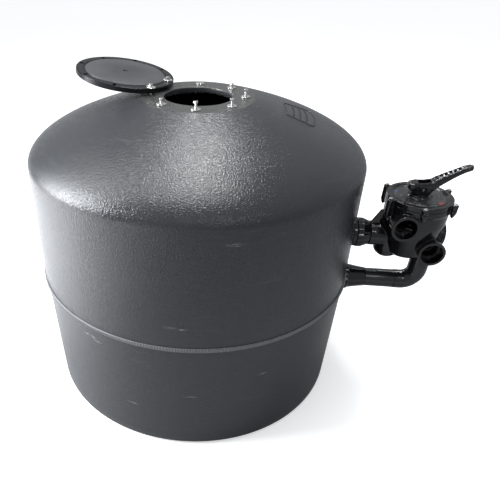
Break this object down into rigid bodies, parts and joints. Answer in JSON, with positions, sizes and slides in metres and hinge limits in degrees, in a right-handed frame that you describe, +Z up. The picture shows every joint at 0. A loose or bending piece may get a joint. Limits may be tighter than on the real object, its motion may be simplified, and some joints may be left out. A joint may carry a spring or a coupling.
{
  "type": "sand filter tank",
  "caption": "Round domed plastic filter tank with a bolted filling lid parked beside its neck, and a side multiport valve with a lift-and-turn lever handle.",
  "frame": {"origin": "centre of the tank's flat underside, on the floor plane and on the tank's axis", "axes": "+Z up along the tank's axis, +X through the two wall ports towards the valve, -Y the side the pump and return ports face"},
  "size_m": [1.1257, 0.8696, 0.8386],
  "materials": {
    "tank_plastic": "satin, fine moulded grain",
    "weld_plastic": "satin, ribbed weld",
    "lid_plastic": "satin",
    "gloss_plastic": "gloss",
    "pipe_plastic": "gloss",
    "inner_plastic": "moulded",
    "rubber": "matt",
    "steel": "bright stainless"
  },
  "bodies": {
    "tank": {"backing_ring": "steel", "collector_pipe": "inner_plastic", "cover_oring": "rubber", "cover_screw_1": "steel", "cover_screw_2": "steel", "cover_screw_3": "steel", "cover_screw_4": "steel", "cover_screw_5": "steel", "cover_screw_6": "steel", "diffuser_head": "inner_plastic", "diffuser_pipe": "inner_plastic", "elbow_pipe": "pipe_plastic", "lateral_1": "inner_plastic", "lateral_2": "inner_plastic", "lateral_3": "inner_plastic", "lateral_4": "inner_plastic", "lateral_5": "inner_plastic", "lateral_6": "inner_plastic", "lateral_7": "inner_plastic", "lateral_8": "inner_plastic", "lateral_hub": "inner_plastic", "lid_washer_1": "steel", "lid_washer_2": "steel", "lid_washer_3": "steel", "lid_washer_4": "steel", "lid_washer_5": "steel", "lid_washer_6": "steel", "lower_bulkhead": "gloss_plastic", "lower_gasket": "rubber", "lower_locknut": "gloss_plastic", "lower_tail_pipe": "pipe_plastic", "seam_weld_bead": "weld_plastic", "spider_gasket": "rubber", "tank_lower_shell": "tank_plastic", "tank_upper_shell": "tank_plastic", "union_oring": "rubber", "union_tail": "gloss_plastic", "upper_bulkhead": "gloss_plastic", "upper_gasket": "rubber", "upper_locknut": "gloss_plastic", "valve_body": "gloss_plastic", "valve_cover": "gloss_plastic"},
    "turret": {"thrust_washer": "inner_plastic"},
    "rotor": {"rotor": "gloss_plastic", "rotor_spring": "steel", "stem_oring": "rubber", "handle_pin": "steel"},
    "handle": {"handle": "gloss_plastic"},
    "lid": {"lid": "lid_plastic", "lid_oring": "rubber", "lid_washer_7": "steel", "lid_washer_8": "steel", "lid_bolt_6": "steel", "lid_bolt_7": "steel"},
    "union_nut": {"union_nut": "gloss_plastic"},
    "lid_bolt_1": {"lid_bolt_1": "steel"},
    "lid_bolt_2": {"lid_bolt_2": "steel"},
    "lid_bolt_3": {"lid_bolt_3": "steel"},
    "lid_bolt_4": {"lid_bolt_4": "steel"},
    "lid_bolt_5": {"lid_bolt_5": "steel"}
  },
  "joints": [
    {"name": "valve_turn", "type": "hinge", "parent": "tank", "child": "turret", "pos_m": [0.588, 0, 0.5692], "axis": [0, 0, 1], "continuous": true},
    {"name": "rotor_lift", "type": "slide", "parent": "turret", "child": "rotor", "axis": [0, 0, 1], "range_m": [0, 0.0052], "deforming": ["rotor_spring"]},
    {"name": "handle_press", "type": "hinge", "parent": "rotor", "child": "handle", "pos_m": [0.588, 0, 0.5844], "axis": [0.1045, 0.9945, 0], "range_deg": [0, 18]},
    {"name": "lid_lift", "type": "slide", "parent": "tank", "child": "lid", "axis": [0, 0, 1], "range_m": [0, 0.25]},
    {"name": "union_nut_turn", "type": "hinge", "parent": "tank", "child": "union_nut", "pos_m": [0.4625, 0, 0.446], "axis": [1, 0, 0], "continuous": true},
    {"name": "lid_bolt_1_unscrew", "type": "slide", "parent": "tank", "child": "lid_bolt_1", "axis": [0, 0, 1], "range_m": [-0.0075, 0.03]},
    {"name": "lid_bolt_2_unscrew", "type": "slide", "parent": "tank", "child": "lid_bolt_2", "axis": [0, 0, 1], "range_m": [-0.012, 0.03]},
    {"name": "lid_bolt_3_unscrew", "type": "slide", "parent": "tank", "child": "lid_bolt_3", "axis": [0, 0, 1], "range_m": [-0.011, 0.03]},
    {"name": "lid_bolt_4_unscrew", "type": "slide", "parent": "tank", "child": "lid_bolt_4", "axis": [0, 0, 1], "range_m": [-0.012, 0.03]},
    {"name": "lid_bolt_5_unscrew", "type": "slide", "parent": "tank", "child": "lid_bolt_5", "axis": [0, 0, 1], "range_m": [-0.004, 0.03]}
  ],
  "couplings": [
    {"joint": "rotor_lift", "follows": "handle_press", "m_per_rad": 0.01655}
  ]
}
